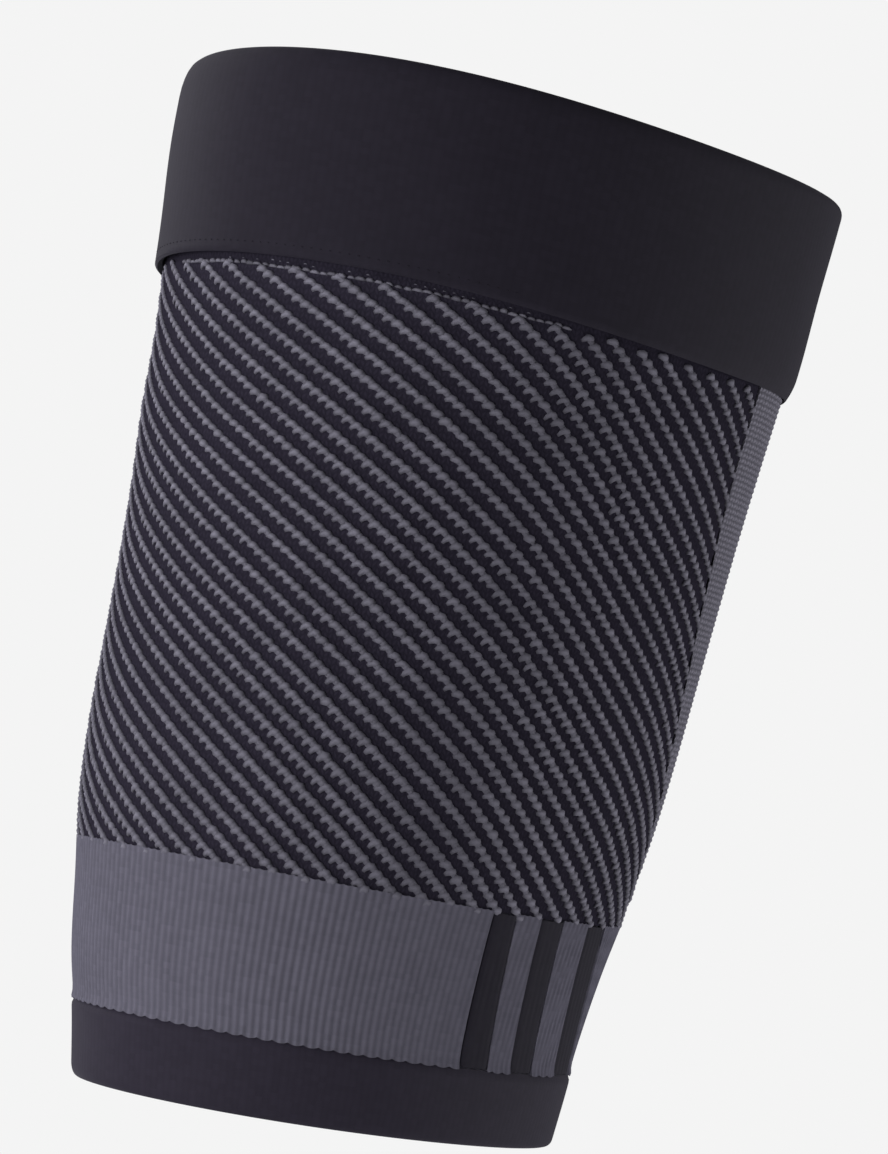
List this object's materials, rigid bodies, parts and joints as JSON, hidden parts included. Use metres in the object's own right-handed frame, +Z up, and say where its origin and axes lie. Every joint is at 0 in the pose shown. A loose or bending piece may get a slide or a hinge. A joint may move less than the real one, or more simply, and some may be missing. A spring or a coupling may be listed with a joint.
{
  "type": "thigh compression sleeve",
  "caption": "Hollow tapered knit sleeve worn round the thigh, with a folded top cuff, diagonal ridges, a plain back panel, a striped lower band and a turned hem.",
  "frame": {"origin": "on the leg's axis at half the sleeve's length, where the thigh sits", "axes": "+Z up the leg towards the hip, -Y the ridged side shown in the picture, +X to the right of that side"},
  "size_m": [0.1766, 0.1765, 0.2645],
  "materials": {
    "smooth_dark_knit": "smooth dark charcoal knit with a faint sheen",
    "ridged_knit": "dark knit with raised light grey diagonal stitches",
    "plain_grey_knit": "plain grey knit with fine wales",
    "ribbed_grey_knit": "grey knit with fine upright ribs",
    "ribbed_dark_knit": "dark knit with fine upright ribs"
  },
  "bodies": {
    "root": {"top_cuff": "smooth_dark_knit", "knit_body": "ridged_knit", "back_panel": "plain_grey_knit", "lower_band": "ribbed_grey_knit", "band_stripe_1": "ribbed_dark_knit", "band_stripe_2": "ribbed_dark_knit", "band_stripe_3": "ribbed_dark_knit", "bottom_hem": "smooth_dark_knit"}
  },
  "joints": []
}
